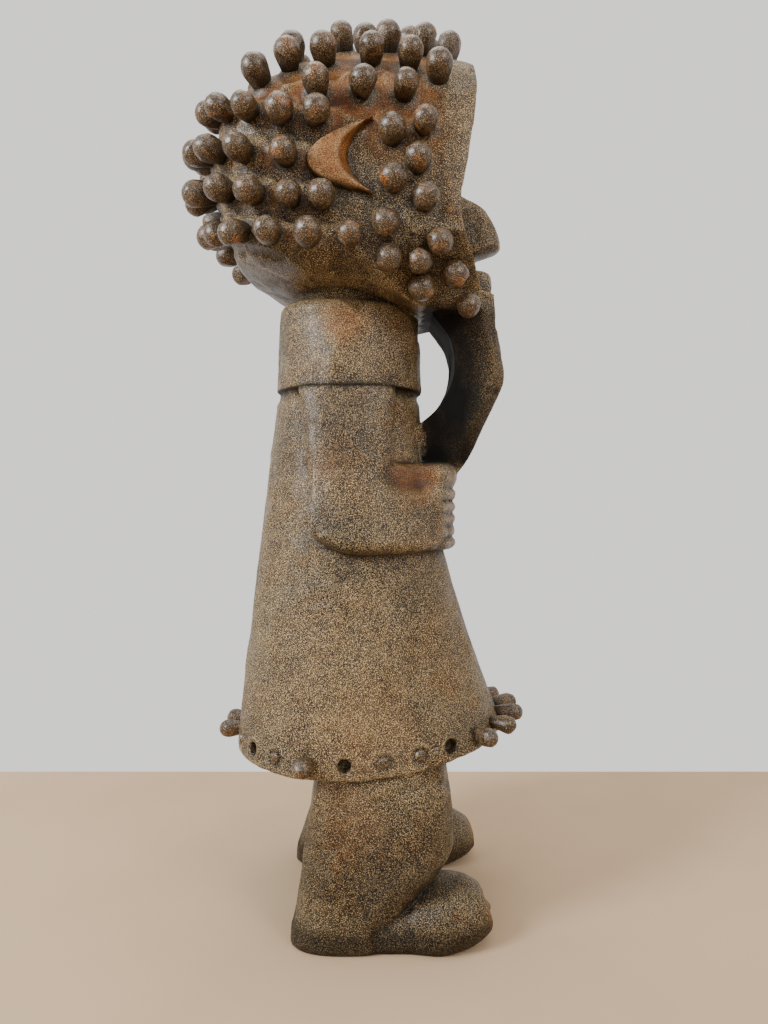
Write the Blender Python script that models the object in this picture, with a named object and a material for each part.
# A carved wooden ancestor figure with a head studded with pegs, standing on its own feet.
# Metres, +Z up.  The figure faces -Y and its right side is at -X.
import bpy
import bmesh
import math
import random
from mathutils import Matrix, Vector
from mathutils.bvhtree import BVHTree

MM = 0.001

# Tunic and neck block
HEM_HEIGHT = 0.1175
HEM_FRONT_RISE = 0.0130
TUNIC_LENGTH = 0.2575
NECK_LENGTH = 0.0640
NECK_FOOT_RADIUS = 0.0545
NECK_TOP_RADIUS = 0.0517
NECK_BEVEL = 0.0050
SHOULDER_HALF_WIDTH = 0.0470
SHOULDER_BACK = 0.0530
SHOULDER_FRONT = 0.0525
HEM_HALF_WIDTH = 0.0920
HEM_BACK = 0.0833
HEM_FRONT = 0.1194

# Arms and hands
ARM_PROUD = 0.0130
ARM_TOP_BACK = 0.0305
ARM_TOP_FRONT = -0.0315
ELBOW_BACK = 0.0185
ELBOW_FRONT = -0.0250
FOREARM_DROP = 0.0525
FOREARM_WIDTH = 0.0625
HAND_GAP = 0.0035
ELBOW_ROUND = 0.0110
WRIST_SHARE = 0.58
HAND_SWELL = 0.0085
FINGER_PITCH = 0.0088
FINGER_GROOVE = 0.70

# Legs and feet
FEET_GAP = 0.0500
LEG_INSET = 0.0050
HEEL_BACK = 0.0400
LEFT_HEEL_EXTRA = 0.0090
TOE_FRONT = 0.1000
TOE_LIFT = 0.0090
FOOT_HEIGHT = 0.0400
LEG_OVERLAP = 0.0145

# Head
HEAD_BACK = 0.1010
FACE_FRONT = 0.0880
FACE_CHIN_SETBACK = 0.0120
HEAD_LIFT = 0.0220
HEAD_RISE = 0.1570
JAW_DROP = 0.0300
JAW_FORWARD = 0.0200
JAW_TAPER = 0.55
HEAD_HALF_WIDTH = 0.0830
HEAD_CORNER = 0.0300
HEAD_CROWN = -0.0300
WALL_SHARE = 0.535
FACE_DEPTH = 0.0150
RIM_WIDTH = 0.0150

# Face, beard and ears
NOSE_RISE = 0.0740
NOSE_LENGTH = 0.0480
NOSE_TIP_THICKNESS = 0.0125
NOSE_REACH = 0.1140
NOSE_HALF_WIDTH = 0.0150
MOUTH_RISE = 0.0070
MOUTH_HEIGHT = 0.0370
MOUTH_HALF_WIDTH = 0.0230
MOUTH_REACH = 0.1105
MOUTH_SLOT = 0.0130
MOUTH_ROOT = 0.0740
EYE_LEVEL = 0.516
EYE_SPREAD = 0.0330
EYE_RADIUS = 0.0105
BEARD_HALF_WIDTH_TOP = 0.0350
BEARD_HALF_WIDTH_FOOT = 0.0240
# The beard's two edges seen from the side: reach in front of the neck's axis, and how far down the
# way from the chin to the hands.
BEARD_INSIDE = ((0.0560, -0.19), (0.0600, -0.01), (0.0745, 0.19), (0.0765, 0.41), (0.0655, 0.62),
                (0.0450, 0.79), (0.0250, 0.93))
BEARD_OUTSIDE = ((0.1080, -0.13), (0.1110, 0.06), (0.1125, 0.27), (0.1130, 0.46), (0.0980, 0.77),
                 (0.0825, 1.04), (0.0550, 1.30))
EAR_LEVEL = 0.370
EAR_TIP_SPAN = 0.0500
EAR_REACH = 0.0450
EAR_HOLLOW = 0.0190
EAR_FRONT = -0.0200
EAR_PROUD = 0.0070

# Pegs
HAIR_KNOB_RADIUS = 0.0088
HAIR_NECK_RADIUS = 0.0062
HAIR_PEG_REACH = 0.0208
HAIR_PEG_DEPTH = 0.0080
HAIR_PEG_SPACING = 0.0180
HEM_PEG_COUNT = 24
HEM_PEG_ABOVE_HEM = 0.0090
HEM_KNOB_RADIUS = 0.0064
HEM_NECK_RADIUS = 0.0046
HEM_PEG_REACH = 0.0145
HEM_STUB_REACH = 0.0016
HEM_PEG_DEPTH = 0.0080
PEG_CLEARANCE = 0.0004
PEG_SIDES = 5
LOOSE_HAIR_PEGS = 38

# Heights above the ground and other sizes that follow from the sizes above
LEG_WIDTH = HEM_HALF_WIDTH - LEG_INSET - FEET_GAP / 2
LEG_TOP = HEM_HEIGHT + LEG_OVERLAP
SHOULDER_HEIGHT = HEM_HEIGHT + TUNIC_LENGTH
NECK_TOP = SHOULDER_HEIGHT + NECK_LENGTH
FOREARM_TOP = SHOULDER_HEIGHT - FOREARM_DROP
FOREARM_BOTTOM = FOREARM_TOP - FOREARM_WIDTH
HEAD_EDGE = NECK_TOP + HEAD_LIFT
HEAD_TOP = HEAD_EDGE + HEAD_RISE
JAW_EDGE = HEAD_EDGE - JAW_DROP
NOSE_TOP = HEAD_EDGE + NOSE_RISE
NOSE_TIP_HEIGHT = NOSE_TOP - NOSE_LENGTH
NOSE_FOOT = NOSE_TIP_HEIGHT - NOSE_TIP_THICKNESS
MOUTH_TOP = HEAD_EDGE + MOUTH_RISE
MOUTH_BOTTOM = MOUTH_TOP - MOUTH_HEIGHT

# Hair pegs on one half of the head, the other half mirrors them.  Each row round the walls is its
# level at the face, as a share of the head's height, and the distances of its pegs from the middle
# of the back, in millimetres.  The pegs round the ear keep their distance from it.
ROW_RISE = 0.0310
LEFT_SIDE_LIFT = 0.0110
SIDE_ROWS = (
    (0.032, (13, 39, 64, 90, 109, 134, 160)),
    (EAR_LEVEL - 0.179, (0, 26, 52, 78, 99, 123, 143)),
    (EAR_LEVEL - 0.013, (13, 33, 52, 70, 92, 120)),
    (0.529, (0, 27, 54, 75, 95, 117, 139)),
)
# Rows over the crown: the angle above level in which the pegs point, and their distances from the
# back of the crown towards the face, in millimetres.
CROWN_ROWS = (
    (12, (84, 113, 140)),
    (23, (50, 163)),
    (31, (27, 66, 88, 118, 144, 171)),
    (50, (44, 66, 99, 129, 154)),
    (66, (20, 84, 115, 145, 172)),
    (80, (38, 68, 99, 130, 160)),
)
# Pegs beside the face and down the jaw: distance in front of the neck's axis, in millimetres, and
# level in the same measure.
FACE_SIDE_PEGS = (
    (31.7, EAR_LEVEL + 0.087), (31.0, EAR_LEVEL - 0.106), (26.0, 0.089), (51.9, 0.501), (48.1, 0.344),
    (51.9, 0.187), (61.3, 0.045), (72.3, -0.070), (83.5, -0.172), (48.4, -0.025), (27.5, -0.045), (50.0, -0.134),
)

random_source = random.Random(11)


def wood(name, colour, roughness):
    material = bpy.data.materials.new(name)
    material.use_nodes = True
    shader = material.node_tree.nodes["Principled BSDF"]
    shader.inputs["Base Color"].default_value = (*colour, 1.0)
    shader.inputs["Roughness"].default_value = roughness
    shader.inputs["Metallic"].default_value = 0.0
    return material


def add_object(name, mesh, material=None, smooth_angle=40):
    # Makes an object of a finished bmesh.
    data = bpy.data.meshes.new(name)
    bmesh.ops.recalc_face_normals(mesh, faces=mesh.faces)
    mesh.to_mesh(data)
    mesh.free()
    data.shade_smooth()
    data.set_sharp_from_angle(angle=math.radians(smooth_angle))
    thing = bpy.data.objects.new(name, data)
    bpy.context.scene.collection.objects.link(thing)
    if material:
        data.materials.append(material)
    return thing


def loft_into(mesh, rings):
    # Skins a list of rings that have the same number of points, and closes both ends.
    loops = [[mesh.verts.new(point) for point in ring] for ring in rings]
    count = len(rings[0])
    for low, high in zip(loops, loops[1:]):
        for index in range(count):
            following = (index + 1) % count
            mesh.faces.new((low[index], low[following], high[following], high[index]))
    for loop in (loops[0], loops[-1]):
        if count == PEG_SIDES:
            mesh.faces.new(loop)
            continue
        centre = mesh.verts.new(sum((vert.co for vert in loop), Vector()) / count)
        for index in range(count):
            mesh.faces.new((loop[index], loop[(index + 1) % count], centre))


def loft(rings):
    mesh = bmesh.new()
    loft_into(mesh, rings)
    return mesh


def smooth_step(value):
    value = min(max(value, 0.0), 1.0)
    return value * value * (3.0 - 2.0 * value)


def curve_through(points, steps):
    # A smooth Catmull-Rom curve through a few points.
    ends = [points[0] * 2 - points[1]] + list(points) + [points[-1] * 2 - points[-2]]
    result = []
    for index in range(len(points) - 1):
        before, start, end, after = ends[index:index + 4]
        for step in range(steps):
            t = step / steps
            result.append(0.5 * (2 * start + (end - before) * t
                                 + (2 * before - 5 * start + 4 * end - after) * t * t
                                 + (3 * start - before - 3 * end + after) * t ** 3))
    result.append(points[-1].copy())
    return result


# Tunic

def hem_height(y):
    front_share = max(0.0, -y) / HEM_FRONT
    return HEM_HEIGHT + HEM_FRONT_RISE * front_share ** 1.5


def tunic_reaches(height):
    # Half width, front reach and back reach of the tunic at a height.
    share = min(max((SHOULDER_HEIGHT - height) / (SHOULDER_HEIGHT - HEM_HEIGHT), 0.0), 1.2)
    half = SHOULDER_HALF_WIDTH + (HEM_HALF_WIDTH - SHOULDER_HALF_WIDTH) * share ** 0.85
    front = SHOULDER_FRONT + (HEM_FRONT - SHOULDER_FRONT) * share ** 1.64
    back = SHOULDER_BACK + (HEM_BACK - SHOULDER_BACK) * share ** 0.95
    return half, front, back


def tunic_point(angle, height, proud=0.0):
    # Angle 0 is the right side (-X), a quarter turn is the front (-Y).
    half, front, back = tunic_reaches(height)
    reach = front if math.sin(angle) > 0 else back
    return Vector((-(half + proud) * math.cos(angle), -(reach + proud) * math.sin(angle), height))


def make_tunic():
    levels = 5
    sides = 28
    rings = []
    for level in range(levels + 1):
        share = level / levels
        ring = []
        for side in range(sides):
            angle = math.tau * side / sides
            low = hem_height(tunic_point(angle, HEM_HEIGHT).y)
            height = SHOULDER_HEIGHT + (low - SHOULDER_HEIGHT) * share
            ring.append(tunic_point(angle, height))
        rings.append(ring)
    overlap = Vector((0, 0, NECK_BEVEL))
    rings.insert(0, [point + overlap for point in rings[0]])
    return loft(rings)


def circle(radius, height, sides):
    return [Vector((radius * math.cos(math.tau * side / sides),
                    radius * math.sin(math.tau * side / sides), height)) for side in range(sides)]


def make_neck_block():
    sides = 24
    return loft([
        circle(NECK_FOOT_RADIUS, SHOULDER_HEIGHT, sides),
        circle(NECK_TOP_RADIUS, NECK_TOP - NECK_BEVEL, sides),
        circle(NECK_TOP_RADIUS - NECK_BEVEL, NECK_TOP, sides),
        circle(NECK_TOP_RADIUS - 3 * NECK_BEVEL, NECK_TOP + 3 * NECK_BEVEL, sides),
    ])


# Arms

SOFT_EDGE = ((0.0, 0.35), (0.10, 0.85), (0.32, 1.0), (0.68, 1.0), (0.90, 0.85), (1.0, 0.35))


def tunic_angle(y, height):
    half, front, back = tunic_reaches(height)
    reach = front if y < 0 else back
    return math.asin(min(max(-y / reach, -1.0), 1.0))


def make_upper_arm(side):
    rings = []
    steps = 5
    bottom = FOREARM_BOTTOM + ELBOW_ROUND
    for step in range(steps + 1):
        share = step / steps
        height = SHOULDER_HEIGHT + NECK_BEVEL * 0.4 + (bottom - SHOULDER_HEIGHT) * share
        back = ARM_TOP_BACK + (ELBOW_BACK - ARM_TOP_BACK) * share
        front = ARM_TOP_FRONT + (ELBOW_FRONT - ARM_TOP_FRONT) * share
        ring = []
        for across, lift in SOFT_EDGE:
            y = back + (front - back) * across
            ring.append(tunic_point(tunic_angle(y, height), height, ARM_PROUD * lift))
        inner_front = tunic_point(tunic_angle(front, height), height, -ARM_PROUD)
        inner_back = tunic_point(tunic_angle(back, height), height, -ARM_PROUD)
        ring += [inner_front, inner_back]
        rings.append([Vector((-side * point.x, point.y, point.z)) for point in ring])
    return loft(rings)


def soft_lift(share):
    # How far the arm stands proud at a share of its width, rounded at both edges.
    for (low, low_lift), (high, high_lift) in zip(SOFT_EDGE, SOFT_EDGE[1:]):
        if share <= high:
            return low_lift + (high_lift - low_lift) * (share - low) / (high - low)
    return SOFT_EDGE[-1][1]


def hand_profile():
    # Shares of the hand's height with their lifts: five level digits under the plain wrist.
    digit = FINGER_PITCH / FOREARM_WIDTH
    profile = []
    start = 0.0
    for width in [digit] * 5 + [1.0 - 5 * digit]:
        profile += [(start, FINGER_GROOVE), (start + 0.28 * width, 1.0), (start + 0.72 * width, 1.0)]
        start += width
    profile.append((1.0, FINGER_GROOVE))
    return profile


def make_forearm(side):
    # A band round the tunic from the elbow to the middle of the chest, ending in the fingers.
    rings = []
    steps = 6
    middle = (FOREARM_BOTTOM + FOREARM_TOP) / 2
    start = tunic_angle(ELBOW_BACK, middle)
    half = tunic_reaches(middle)[0]
    end = math.acos(HAND_GAP / half)
    profile = hand_profile()
    for step in range(steps + 1):
        turned = step / steps
        angle = start + (end - start) * turned
        elbow = max(0.0, 1.0 - turned * 4.0)
        low = FOREARM_BOTTOM + ELBOW_ROUND * elbow ** 2
        hand = smooth_step((turned - WRIST_SHARE) / 0.14)
        tip = 0.72 if step == steps else 1.0
        ring = []
        for share, lift in profile:
            height = low + (FOREARM_TOP - low) * share
            proud = (ARM_PROUD * (soft_lift(share) * (1.0 - hand) + lift * hand) + HAND_SWELL * share * hand) * tip
            ring.append(tunic_point(angle, height, proud))
        ring.append(tunic_point(angle, FOREARM_TOP, -ARM_PROUD))
        ring.append(tunic_point(angle, low, -ARM_PROUD))
        rings.append([Vector((-side * point.x, point.y, point.z)) for point in ring])
    return loft(rings)


# Legs

def oval(centre_x, centre_y, half_x, half_y, height, sides=10, squareness=2.6):
    ring = []
    for side in range(sides):
        angle = math.tau * side / sides
        cos = math.cos(angle)
        sin = math.sin(angle)
        ring.append(Vector((
            centre_x + half_x * math.copysign(abs(cos) ** (2 / squareness), cos),
            centre_y + half_y * math.copysign(abs(sin) ** (2 / squareness), sin), height)))
    return ring


def leg_outline(height, side):
    # Back and front of the leg: heavy calf and knee over a narrower ankle.
    share = height / LEG_TOP
    back = HEEL_BACK * (1.0 - 0.425 * share ** 0.9)
    if side > 0:
        back += LEFT_HEEL_EXTRA * smooth_step(1.0 - share / 0.57)
    ankle = smooth_step((share - 0.12) / 0.36)
    bulge = math.sin(math.pi * min(max((share - 0.12) / 0.88, 0.0), 1.0)) ** 1.2
    front = TOE_FRONT * (0.40 + 0.26 * ankle + 0.065 * bulge)
    return back, -front


def make_leg(side):
    centre_x = side * (FEET_GAP + LEG_WIDTH) / 2
    rings = []
    levels = 6
    for level in range(levels + 1):
        height = LEG_TOP * level / levels
        back, front = leg_outline(height, side)
        swell = math.sin(math.pi * level / levels)
        half = LEG_WIDTH / 2 - 0.003 + 0.003 * swell
        if level == 0:
            half -= 0.002
        rings.append(oval(centre_x, (back + front) / 2, half, (back - front) / 2, height))
    return loft(rings)


def make_foot(side):
    # Stations along the foot, each a low arch standing on the ground.
    centre_x = side * (FEET_GAP + LEG_WIDTH) / 2
    crest = ((-0.20, 0.75), (0.30, 0.80), (0.50, 0.92), (0.66, 1.0), (0.80, 0.97), (0.91, 0.84),
             (0.975, 0.64), (1.0, 0.42))
    rings = []
    for forward, share in crest:
        y = -TOE_FRONT * forward
        top = FOOT_HEIGHT * share
        rounding = max(0.0, forward - 0.55) / 0.47
        half = LEG_WIDTH / 2 * math.sqrt(1.0 - rounding ** 2)
        sole = TOE_LIFT * (max(0.0, forward - 0.84) / 0.16) ** 1.5
        ring = [Vector((centre_x - half * 0.97, y, sole)), Vector((centre_x + half * 0.97, y, sole))]
        for step in range(7):
            angle = math.pi * step / 6
            reach = math.copysign(abs(math.cos(angle)) ** 0.7, math.cos(angle))
            rise = 0.30 + 0.70 * math.sin(angle) ** 0.8
            ring.append(Vector((centre_x + half * reach, y, sole + (top - sole) * rise)))
        rings.append(ring)
    return loft(rings)


# Head

def head_level(share):
    return HEAD_EDGE + HEAD_RISE * share


def head_half(y):
    if y <= HEAD_CORNER:
        return HEAD_HALF_WIDTH - 0.004 * (HEAD_CORNER - y) / (HEAD_CORNER + FACE_FRONT)
    share = min((y - HEAD_CORNER) / (HEAD_BACK - HEAD_CORNER), 1.0)
    return HEAD_HALF_WIDTH * (1.0 - share ** 2.6) ** (1 / 2.6)


def head_top(y):
    base = head_level(0.34)
    if y > HEAD_CROWN:
        share = min((y - HEAD_CROWN) / (HEAD_BACK - HEAD_CROWN), 1.0)
        return base + (HEAD_TOP - base) * (1.0 - share ** 2.2) ** (1 / 2.2)
    share = (HEAD_CROWN - y) / (HEAD_CROWN + FACE_FRONT)
    return HEAD_TOP - 0.007 * share ** 2


def head_edge(y):
    # Lower edge of the side wall: it drops along the jaw and rises round the back.
    drop = smooth_step(-y / 0.050)
    share = smooth_step((y - 0.045) / (HEAD_BACK - 0.045))
    rise = (head_top(HEAD_BACK) - HEAD_EDGE) * share ** 1.6
    return HEAD_EDGE - (HEAD_EDGE - JAW_EDGE) * drop + rise


def head_bottom(y):
    # The underside along the middle: a hull that rests on the neck block.
    if y < 0.030:
        return NECK_TOP + 0.005 - 0.014 * smooth_step((0.030 - y) / 0.110)
    share = (y - 0.030) / (HEAD_BACK - 0.030)
    curve = NECK_TOP + 0.005 + (HEAD_EDGE - NECK_TOP + 0.009) * share ** 1.2
    return min(curve + (head_top(HEAD_BACK) - curve) * smooth_step((share - 0.6) / 0.4) ** 2,
               head_edge(y))


def head_ring(y, half_count=12):
    half = head_half(y)
    top = head_top(y)
    edge = head_edge(y)
    bottom = min(head_bottom(y), edge - 0.0005)
    wall = edge + (top - edge) * WALL_SHARE
    right = [Vector((0.0, y, bottom))]
    for step in range(1, 5):
        angle = math.pi / 2 * step / 4
        right.append(Vector((half * math.sin(angle) ** 1.15, y,
                             edge - (edge - bottom) * math.cos(angle) ** 1.15)))
    right.append(Vector((half, y, (edge + wall) / 2)))
    steps = half_count - 6
    for step in range(steps + 1):
        angle = math.pi / 2 * step / steps
        right.append(Vector((half * math.cos(angle) ** (2 / 2.4), y,
                             wall + (top - wall) * math.sin(angle) ** (2 / 2.4))))
    right[-1].x = 0.0
    for point in right:
        point.x *= jaw_width(y, point.z)
    left = [Vector((-point.x, point.y, point.z)) for point in reversed(right[1:-1])]
    return right + left


def face_y(height):
    # The front rim leans back towards the mouth, and the jaw below it juts out again.
    share = min(max((head_level(0.72) - height) / (0.49 * HEAD_RISE), 0.0), 1.0)
    jaw = smooth_step((head_level(0.153) - height) / (0.32 * HEAD_RISE))
    return -FACE_FRONT + FACE_CHIN_SETBACK * share ** 1.3 - JAW_FORWARD * jaw


def jaw_width(y, height):
    # The head narrows down the jaw towards the beard.
    down = smooth_step((head_level(0.083) - height) / (0.255 * HEAD_RISE))
    return 1.0 - JAW_TAPER * down * smooth_step(-y / (0.91 * FACE_FRONT))


def make_head():
    stations = [-0.060, -0.030, 0.0, 0.030, 0.054, 0.073, 0.087, 0.097, HEAD_BACK - 0.0010]
    rings = [[Vector((point.x, face_y(point.z), point.z)) for point in head_ring(-FACE_FRONT)]]
    rings += [head_ring(y) for y in stations]
    return loft(rings)


def face_outline(share, y, sides=16):
    # The rim of the hollow follows the head's own front outline, a rim width inside it.
    ring = []
    low = MOUTH_BOTTOM + 0.012
    high = HEAD_TOP - RIM_WIDTH - 0.008
    middle = (low + high) / 2
    for side in range(sides):
        angle = math.tau * side / sides
        cos = math.cos(angle)
        sin = math.sin(angle)
        half = HEAD_HALF_WIDTH - RIM_WIDTH
        if sin < 0:
            half *= 1.0 - 0.30 * sin * sin
        height = middle + (high - middle) * share * math.copysign(abs(sin) ** 0.8, sin)
        ring.append(Vector((half * share * math.copysign(abs(cos) ** 0.8, cos), face_y(height) + y, height)))
    return ring


def make_face_hollow():
    return loft([face_outline(1.12, -0.020), face_outline(1.0, -0.001), face_outline(0.80, 0.7 * FACE_DEPTH),
                 face_outline(0.45, FACE_DEPTH)])


def make_nose():
    rings = []
    steps = 5
    root_y = -FACE_FRONT + 0.035
    for step in range(steps + 1):
        share = step / steps
        turn = math.pi / 2 * share
        height = NOSE_TIP_HEIGHT + (NOSE_TOP - NOSE_TIP_HEIGHT) * math.cos(turn)
        front = FACE_FRONT - 0.010 + (NOSE_REACH - FACE_FRONT + 0.010) * math.sin(turn)
        half = NOSE_HALF_WIDTH * (0.30 + 0.70 * share)
        rings.append((height, front, half))
    rings.append((NOSE_FOOT, NOSE_REACH - 0.012, NOSE_HALF_WIDTH * 0.92))
    return loft([[Vector((-half, root_y, height)), Vector((half, root_y, height)),
                  Vector((half * 0.9, -front + 0.010, height)), Vector((half * 0.35, -front, height)),
                  Vector((-half * 0.35, -front, height)), Vector((-half * 0.9, -front + 0.010, height))]
                 for height, front, half in rings])


def block(low, high):
    # A plain closed box between two corners.
    corners = [(low[0], low[1]), (high[0], low[1]), (high[0], high[1]), (low[0], high[1])]
    return loft([[Vector((x, y, z)) for x, y in corners] for z in (low[2], high[2])])


def make_mouth():
    rings = []
    levels = ((MOUTH_BOTTOM, 0.90, 0.0), (MOUTH_BOTTOM + 0.004, 1.0, 0.002), (MOUTH_TOP - 0.004, 1.0, 0.001),
              (MOUTH_TOP, 0.88, -0.005))
    for height, share, lean in levels:
        half = MOUTH_HALF_WIDTH * share
        front = MOUTH_REACH + lean
        rings.append([Vector((-half, -MOUTH_ROOT, height)), Vector((half, -MOUTH_ROOT, height)),
                      Vector((half, -front + 0.008, height)), Vector((half * 0.6, -front, height)),
                      Vector((-half * 0.6, -front, height)), Vector((-half, -front + 0.008, height))])
    return loft(rings)


def make_mouth_slot():
    middle = (MOUTH_BOTTOM + MOUTH_TOP) / 2
    return block((-MOUTH_HALF_WIDTH - 0.004, -MOUTH_REACH - 0.010, middle - MOUTH_SLOT / 2),
                 (MOUTH_HALF_WIDTH + 0.004, -MOUTH_REACH + 0.011, middle + MOUTH_SLOT / 2))


def make_eye(side):
    rings = []
    base_y = face_y(head_level(EYE_LEVEL)) + FACE_DEPTH + 0.004
    for reach, share in ((0.0, 1.0), (0.008, 1.0), (0.0115, 0.72)):
        ring = []
        for corner in range(8):
            angle = math.tau * corner / 8
            ring.append(Vector((side * EYE_SPREAD + EYE_RADIUS * 1.35 * share * math.cos(angle),
                                base_y - reach, head_level(EYE_LEVEL) + EYE_RADIUS * 0.8 * share * math.sin(angle))))
        rings.append(ring)
    return loft(rings)


def add_beard(mesh):
    # A thick strap that arches from the chin down to the hands.
    fall = MOUTH_BOTTOM - FOREARM_TOP
    inner = [Vector((-reach, MOUTH_BOTTOM - fall * share)) for reach, share in BEARD_INSIDE]
    outer = [Vector((-reach, MOUTH_BOTTOM - fall * share)) for reach, share in BEARD_OUTSIDE]
    steps = 2
    inside = curve_through(inner, steps)
    outside = curve_through(outer, steps)
    rings = []
    last = len(inside) - 1
    for index, (near, far) in enumerate(zip(inside, outside)):
        half = BEARD_HALF_WIDTH_TOP + (BEARD_HALF_WIDTH_FOOT - BEARD_HALF_WIDTH_TOP) * index / last
        ring = []
        for across, depth in ((-0.92, 0.0), (0.92, 0.0), (1.0, 0.78), (0.72, 1.0), (-0.72, 1.0), (-1.0, 0.78)):
            point = near + (far - near) * depth
            ring.append(Vector((half * across, point.x, point.y)))
        rings.append(ring)
    loft_into(mesh, rings)


def make_ear(side):
    # A crescent that opens towards the face.
    outline = []
    steps = 5
    half_span = EAR_TIP_SPAN / 2
    for step in range(-steps, steps + 1):
        t = step / steps
        outline.append((EAR_FRONT + EAR_REACH * (1 - abs(t) ** 1.7), head_level(EAR_LEVEL) + half_span * t))
    for step in range(steps - 2, -steps + 1, -2):
        t = step / steps
        outline.append((EAR_FRONT + EAR_HOLLOW * (1 - t * t), head_level(EAR_LEVEL) + half_span * t))
    middle_y = EAR_FRONT + (EAR_REACH + EAR_HOLLOW) / 2
    rings = []
    for reach, share in ((-0.012, 1.0), (EAR_PROUD * 0.6, 1.0), (EAR_PROUD, 0.86)):
        ring = []
        for y, z in outline:
            ring.append(Vector((side * (head_half(y) + reach), middle_y + (y - middle_y) * share,
                                head_level(EAR_LEVEL) + (z - head_level(EAR_LEVEL)) * share)))
        rings.append(ring)
    return loft(rings)


# Pegs

def peg_rings(levels, phase=0.0):
    return [circle_turned(radius, height, phase) for height, radius in levels]


def circle_turned(radius, height, phase):
    ring = []
    for side in range(PEG_SIDES):
        angle = math.tau * side / PEG_SIDES + phase
        ring.append(Vector((radius * math.cos(angle), radius * math.sin(angle), height)))
    return ring


def hair_peg_levels(size):
    return ((-HAIR_PEG_DEPTH, HAIR_NECK_RADIUS), (0.25 * HAIR_PEG_REACH * size, HAIR_NECK_RADIUS),
            (0.62 * HAIR_PEG_REACH * size, HAIR_KNOB_RADIUS * size),
            (HAIR_PEG_REACH * size, HAIR_KNOB_RADIUS * 0.58 * size))


def crown_peg_levels(size):
    # A plainer knob for the pegs that are one solid with the head.
    return ((-0.004, HAIR_NECK_RADIUS * 0.92), (0.58 * HAIR_PEG_REACH * size, HAIR_KNOB_RADIUS * size),
            (HAIR_PEG_REACH * size, HAIR_KNOB_RADIUS * 0.58 * size))


def hem_peg_levels(size):
    return ((-HEM_PEG_DEPTH, HEM_NECK_RADIUS), (0.15 * HEM_PEG_REACH, HEM_NECK_RADIUS),
            (0.58 * HEM_PEG_REACH, HEM_KNOB_RADIUS * size), (HEM_PEG_REACH, HEM_KNOB_RADIUS * 0.55 * size))


def hem_stub_levels(size):
    return ((-HEM_PEG_DEPTH, HEM_NECK_RADIUS), (HEM_STUB_REACH * size, HEM_NECK_RADIUS))


def socket_levels(neck_radius, depth):
    return ((-depth - PEG_CLEARANCE, neck_radius + PEG_CLEARANCE), (0.004, neck_radius + PEG_CLEARANCE))


def placement(point, outward, spin):
    # A frame whose Z axis points out of the surface.
    turn = outward.to_track_quat("Z", "Y").to_matrix().to_4x4()
    return Matrix.Translation(point) @ turn @ Matrix.Rotation(spin, 4, "Z")


def placed(rings, frame):
    return [[frame @ point for point in ring] for ring in rings]


def back_corner(steps=60):
    # Points round the back of the head, from the middle of the back to the straight wall.
    path = []
    for step in range(steps + 1):
        angle = math.pi / 2 * step / steps
        x = HEAD_HALF_WIDTH * math.sin(angle) ** (2 / 2.6)
        y = HEAD_CORNER + (HEAD_BACK - HEAD_CORNER) * math.cos(angle) ** (2 / 2.6)
        path.append(Vector((-x, y, 0.0)))
    return path


def path_length(path):
    return sum((end - start).length for start, end in zip(path, path[1:]))


def walk_round_head(distance):
    # The point and outward normal at a distance from the middle of the back, round the side walls.
    path = back_corner() + [Vector((-head_half(-FACE_FRONT), -FACE_FRONT, 0.0))]
    for start, end in zip(path, path[1:]):
        length = (end - start).length
        direction = (end - start) / length
        if distance <= length:
            break
        distance -= length
    return start + direction * distance, Vector((direction.y, -direction.x, 0.0))


def head_peg_places():
    # A point inside the head and the outward direction of each peg, on the right half.
    places = []
    quarter = path_length(back_corner())
    for level, distances in SIDE_ROWS:
        for distance in distances:
            point, outward = walk_round_head(distance * MM)
            back_share = max(0.0, 1.0 - distance * MM / quarter)
            height = head_level(level) + ROW_RISE * back_share ** 1.3
            places.append((Vector((point.x, point.y, height)), outward))
    crown_base = head_level(WALL_SHARE)
    for degrees, distances in CROWN_ROWS:
        angle = math.radians(degrees)
        for distance in distances:
            y = HEAD_BACK - distance * MM
            lean = 0.55 * smooth_step((y - 0.02) / (HEAD_BACK - 0.02))
            outward = Vector((-math.cos(angle), lean, math.sin(angle))).normalized()
            places.append((Vector((0.0, y - lean * 0.05, crown_base)), outward))
    for reach, level in FACE_SIDE_PEGS:
        inside = Vector((-BEARD_HALF_WIDTH_FOOT, -reach * MM, head_level(level)))
        places.append((inside, Vector((-1.0, 0.0, 0.0))))
    return places


def head_peg_frames():
    # Drives each peg into the wood where its line enters it, on both halves of the head.
    wood_surface = make_head()
    add_beard(wood_surface)
    bmesh.ops.recalc_face_normals(wood_surface, faces=wood_surface.faces)
    tree = BVHTree.FromBMesh(wood_surface)
    wood_surface.free()
    frames = []
    for inside, outward in head_peg_places():
        for side in (1, -1):
            line = Vector((outward.x * side, outward.y, outward.z))
            target = Vector((inside.x * side, inside.y, inside.z))
            if side < 0:
                # The carver set the lowest pegs of the left side a little higher.
                target.z += LEFT_SIDE_LIFT * (1.0 - smooth_step((target.z - HEAD_EDGE) / (HEAD_RISE / 2)))
            hit, normal, _, _ = tree.ray_cast(target + line * HEAD_HALF_WIDTH * 3, -line)
            if any((hit - frame.translation).length < HAIR_PEG_SPACING for frame, _ in frames):
                continue
            aim = (line * 0.55 + normal * 0.45).normalized()
            tilt = Vector([random_source.uniform(-0.07, 0.07) for _ in range(3)])
            spin = random_source.uniform(0.0, math.tau / PEG_SIDES)
            size = random_source.uniform(0.93, 1.07)
            frames.append((placement(hit, (aim + tilt).normalized(), spin), size))
    return frames


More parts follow.
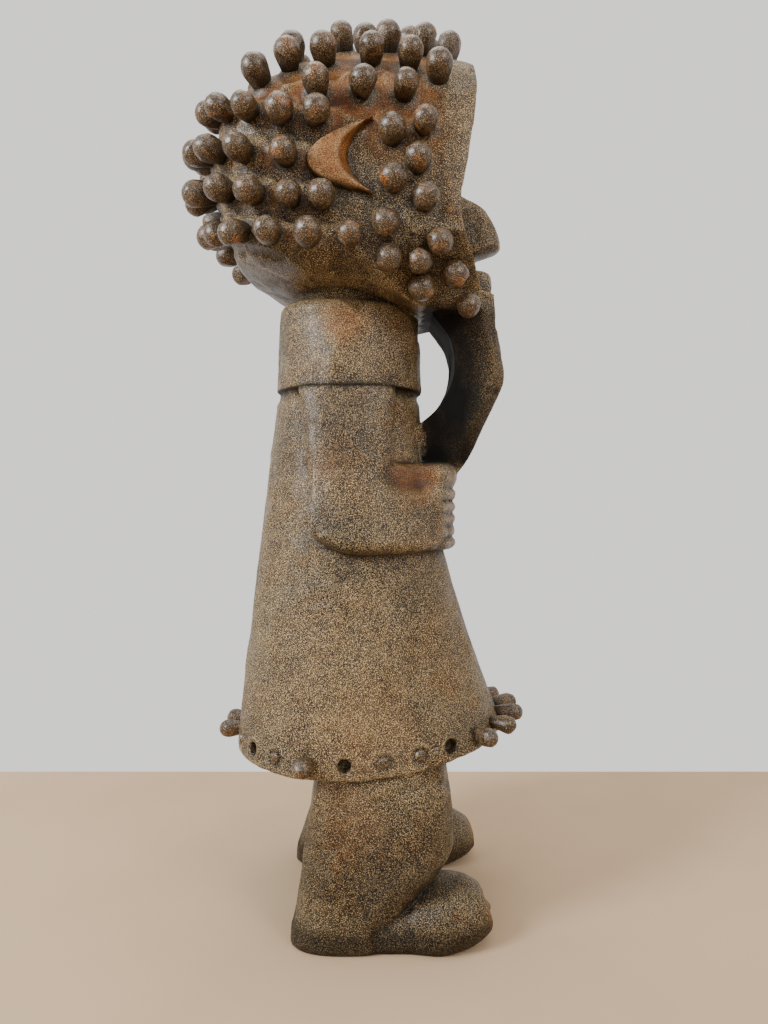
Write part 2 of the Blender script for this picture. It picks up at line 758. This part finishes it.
def hem_peg_places():
    # Evenly spaced points round the hem, from the middle of the back along the right side.
    steps = 360
    height = HEM_HEIGHT + HEM_PEG_ABOVE_HEM
    path = [tunic_point(-math.pi / 2 + math.tau * step / steps, height) for step in range(steps + 1)]
    lengths = [0.0]
    for start, end in zip(path, path[1:]):
        lengths.append(lengths[-1] + (end - start).length)
    places = []
    index = 0
    for peg in range(HEM_PEG_COUNT):
        target = lengths[-1] * (peg + 0.5) / HEM_PEG_COUNT
        while lengths[index + 1] < target:
            index += 1
        point = path[index].lerp(path[index + 1], (target - lengths[index]) / (lengths[index + 1] - lengths[index]))
        along = (path[index + 1] - path[index]).normalized()
        outward = Vector((along.y, -along.x, 0.0))
        if outward.dot(Vector((point.x, point.y, 0.0))) < 0:
            outward = -outward
        point.z = hem_height(point.y) + HEM_PEG_ABOVE_HEM
        places.append((point, outward))
    return places


# The pegs that are lost or broken off, by their place round the hem.
HEM_HOLES = (2, 5, 8, 20)
HEM_STUBS = (1, 3, 6, 7, 17)


def combine(target, parts, operation, name):
    # Adds or cuts all the parts in turn; the parts stay as hidden guides.
    for index, part in enumerate(parts):
        guide = add_object(f"{name}_{index + 1:02d}", part)
        guide.hide_render = True
        guide.display_type = "WIRE"
        guide.parent = target.parent
        modifier = target.modifiers.new(f"{name} {index + 1}", "BOOLEAN")
        modifier.operation = operation
        modifier.solver = "EXACT"
        modifier.object = guide


def make_figure():
    for thing in list(bpy.data.objects):
        bpy.data.objects.remove(thing, do_unlink=True)
    carved_wood = wood("carved wood", (0.115, 0.080, 0.055), 0.55)
    peg_wood = wood("peg wood", (0.085, 0.060, 0.045), 0.45)
    base = bpy.data.objects.new("ground_point", None)
    bpy.context.scene.collection.objects.link(base)

    hair_frames = head_peg_frames()
    hair_frames.sort(key=lambda entry: entry[0].translation.z)
    loose = hair_frames[:LOOSE_HAIR_PEGS]
    fixed = hair_frames[LOOSE_HAIR_PEGS:]

    figure = add_object("figure", make_tunic(), carved_wood)
    figure.parent = base
    beard = bmesh.new()
    add_beard(beard)
    parts = [make_neck_block(), make_head(), beard]
    for side in (-1, 1):
        parts += [make_upper_arm(side), make_forearm(side), make_leg(side), make_foot(side), make_ear(side)]
    combine(figure, parts, "UNION", "carved_form")
    combine(figure, [make_face_hollow()], "DIFFERENCE", "face_hollow")
    combine(figure, [make_nose(), make_mouth(), make_eye(-1), make_eye(1)], "UNION", "feature")
    combine(figure, [make_mouth_slot()], "DIFFERENCE", "mouth_slot")

    crown_pegs = bmesh.new()
    for frame, size in fixed:
        loft_into(crown_pegs, placed(peg_rings(crown_peg_levels(size)), frame))
    sockets = bmesh.new()
    for frame, size in loose:
        loft_into(sockets, placed(peg_rings(socket_levels(HAIR_NECK_RADIUS, HAIR_PEG_DEPTH)), frame))

    hem_pegs = []
    for index, (point, outward) in enumerate(hem_peg_places()):
        frame = placement(point, outward, random_source.uniform(0.0, 1.0))
        size = random_source.uniform(0.93, 1.07)
        loft_into(sockets, placed(peg_rings(socket_levels(HEM_NECK_RADIUS, HEM_PEG_DEPTH)), frame))
        if index in HEM_HOLES:
            continue
        levels = hem_stub_levels(size) if index in HEM_STUBS else hem_peg_levels(size)
        hem_pegs.append((frame, levels))
    combine(figure, [crown_pegs], "UNION", "crown_pegs")
    combine(figure, [sockets], "DIFFERENCE", "sockets")

    for number, (frame, size) in enumerate(loose, 1):
        peg = add_object(f"hair_peg_{number:02d}", loft(peg_rings(hair_peg_levels(size))), peg_wood)
        peg.parent = base
        peg.matrix_local = frame
    for number, (frame, levels) in enumerate(hem_pegs, 1):
        peg = add_object(f"hem_peg_{number:02d}", loft(peg_rings(levels)), peg_wood)
        peg.parent = base
        peg.matrix_local = frame
    centre_on_ground(base)


def centre_on_ground(base):
    # Puts the middle of the whole object's footprint at the origin.
    graph = bpy.context.evaluated_depsgraph_get()
    low = Vector((1e9, 1e9, 1e9))
    high = -low
    for thing in bpy.context.scene.objects:
        if thing.type != "MESH" or thing.hide_render:
            continue
        evaluated = thing.evaluated_get(graph)
        for vert in evaluated.data.vertices:
            point = evaluated.matrix_world @ vert.co
            low = Vector(map(min, low, point))
            high = Vector(map(max, high, point))
    base.location = Vector((-(low.x + high.x) / 2, -(low.y + high.y) / 2, -low.z))


make_figure()
